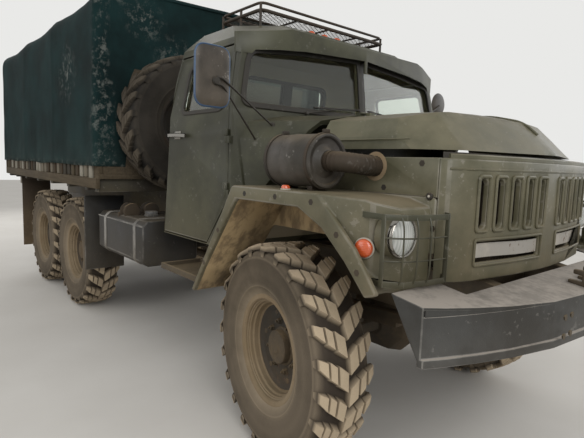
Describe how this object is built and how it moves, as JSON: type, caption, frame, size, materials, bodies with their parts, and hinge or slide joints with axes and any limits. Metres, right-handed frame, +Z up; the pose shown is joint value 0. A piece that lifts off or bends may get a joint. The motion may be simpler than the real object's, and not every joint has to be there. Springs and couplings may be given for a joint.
{
  "type": "covered cargo truck",
  "caption": "All-wheel-drive army cargo truck with a hollow cab, covered load bed and upright spare wheel, steered front wheels, and opening doors, hood and tailgate.",
  "frame": {"origin": "on the ground below the middle of the truck's box", "axes": "+X forward, +Y to the truck's left, +Z up; the tyres' lug tips stand on z = 0"},
  "size_m": [7.04, 2.8, 2.965],
  "materials": {
    "body_paint": "satin, dusty",
    "wheel_paint": "matt, dusty",
    "tyre": "matt",
    "chassis_paint": "matt, dirty",
    "bumper_paint": "satin, worn",
    "axle_metal": "rough, dirty",
    "spring_steel": "rusty",
    "exhaust_metal": "rusty",
    "window_glass": "clear",
    "lamp_glass": "clear, ribbed",
    "amber": "clear amber",
    "filter_paint": "worn",
    "mirror_case": "matt",
    "trim": "matt",
    "seat_cover": "worn",
    "boards": "painted, weathered",
    "canvas": "woven, matt",
    "flap_rubber": "matt"
  },
  "bodies": {
    "truck": {"air_filter": "filter_paint", "bed_floor": "boards", "bed_frame": "body_paint", "bed_sides": "boards", "bumper": "bumper_paint", "cab_glass": "window_glass", "cab_shell": "body_paint", "crossmembers": "chassis_paint", "dashboard": "trim", "driveshafts": "axle_metal", "exhaust": "exhaust_metal", "fenders": "body_paint", "frame_rails": "chassis_paint", "front_axle": "axle_metal", "fuel_tanks": "chassis_paint", "grille": "body_paint", "headlamps": "lamp_glass", "lamp_guards": "chassis_paint", "lamps": "amber", "leaf_springs": "spring_steel", "mirror_right": "mirror_case", "mud_flaps": "flap_rubber", "powertrain": "axle_metal", "radiator": "chassis_paint", "rear_axles": "axle_metal", "roof_rack": "body_paint", "seats": "seat_cover", "side_panels": "body_paint", "spare_carrier": "body_paint", "steering_wheel": "trim", "steps": "body_paint", "tarp_bows": "chassis_paint", "tarpaulin": "canvas", "tow_hooks": "chassis_paint", "tyre_spare": "tyre", "wheel_spare": "wheel_paint", "winch": "axle_metal"},
    "steer_left": {"knuckle_left": "axle_metal"},
    "steer_right": {"knuckle_right": "axle_metal"},
    "wheel_front_left": {"tyre_front_left": "tyre", "wheel_front_left": "wheel_paint"},
    "wheel_front_right": {"tyre_front_right": "tyre", "wheel_front_right": "wheel_paint"},
    "wheel_mid_left": {"tyre_mid_left": "tyre", "wheel_mid_left": "wheel_paint"},
    "wheel_mid_right": {"tyre_mid_right": "tyre", "wheel_mid_right": "wheel_paint"},
    "wheel_rear_left": {"tyre_rear_left": "tyre", "wheel_rear_left": "wheel_paint"},
    "wheel_rear_right": {"tyre_rear_right": "tyre", "wheel_rear_right": "wheel_paint"},
    "door_left": {"door_left": "body_paint", "door_glass_left": "window_glass", "mirror_left": "mirror_case"},
    "door_right": {"door_right": "body_paint", "door_glass_right": "window_glass"},
    "hood": {"hood": "body_paint"},
    "tailgate": {"tailgate": "boards"}
  },
  "joints": [
    {"name": "steer_left", "type": "hinge", "parent": "truck", "child": "steer_left", "pos_m": [2.32, 0.79, 0.57], "axis": [0, 0, 1], "range_deg": [-19, 37]},
    {"name": "steer_right", "type": "hinge", "parent": "truck", "child": "steer_right", "pos_m": [2.32, -0.79, 0.57], "axis": [0, 0, 1], "range_deg": [-19, 37]},
    {"name": "roll_front_left", "type": "hinge", "parent": "steer_left", "child": "wheel_front_left", "pos_m": [2.33877, 0.90852, 0.57], "axis": [0.1564, 0.9877, 0], "continuous": true},
    {"name": "roll_front_right", "type": "hinge", "parent": "steer_right", "child": "wheel_front_right", "pos_m": [2.30123, -0.90852, 0.57], "axis": [0.1564, 0.9877, 0], "continuous": true},
    {"name": "roll_mid_left", "type": "hinge", "parent": "truck", "child": "wheel_mid_left", "pos_m": [-1.03, 0.91, 0.57], "axis": [0, 1, 0], "continuous": true},
    {"name": "roll_mid_right", "type": "hinge", "parent": "truck", "child": "wheel_mid_right", "pos_m": [-1.03, -0.91, 0.57], "axis": [0, 1, 0], "continuous": true},
    {"name": "roll_rear_left", "type": "hinge", "parent": "truck", "child": "wheel_rear_left", "pos_m": [-2.28, 0.91, 0.57], "axis": [0, 1, 0], "continuous": true},
    {"name": "roll_rear_right", "type": "hinge", "parent": "truck", "child": "wheel_rear_right", "pos_m": [-2.28, -0.91, 0.57], "axis": [0, 1, 0], "continuous": true},
    {"name": "door_left_hinge", "type": "hinge", "parent": "truck", "child": "door_left", "pos_m": [1.875, 1.035, 1.6], "axis": [0, 0, -1], "range_deg": [0, 65]},
    {"name": "door_right_hinge", "type": "hinge", "parent": "truck", "child": "door_right", "pos_m": [1.875, -1.035, 1.6], "axis": [0, 0, 1], "range_deg": [0, 65]},
    {"name": "hood_hinge", "type": "hinge", "parent": "truck", "child": "hood", "pos_m": [2.365, 0, 1.853], "axis": [0, -1, 0], "range_deg": [0, 50]},
    {"name": "tailgate_hinge", "type": "hinge", "parent": "truck", "child": "tailgate", "pos_m": [-3.491, 0, 1.365], "axis": [0, -1, 0], "range_deg": [0, 90]}
  ],
  "couplings": [
    {"joint": "steer_right", "follows": "steer_left", "ratio": 1}
  ]
}
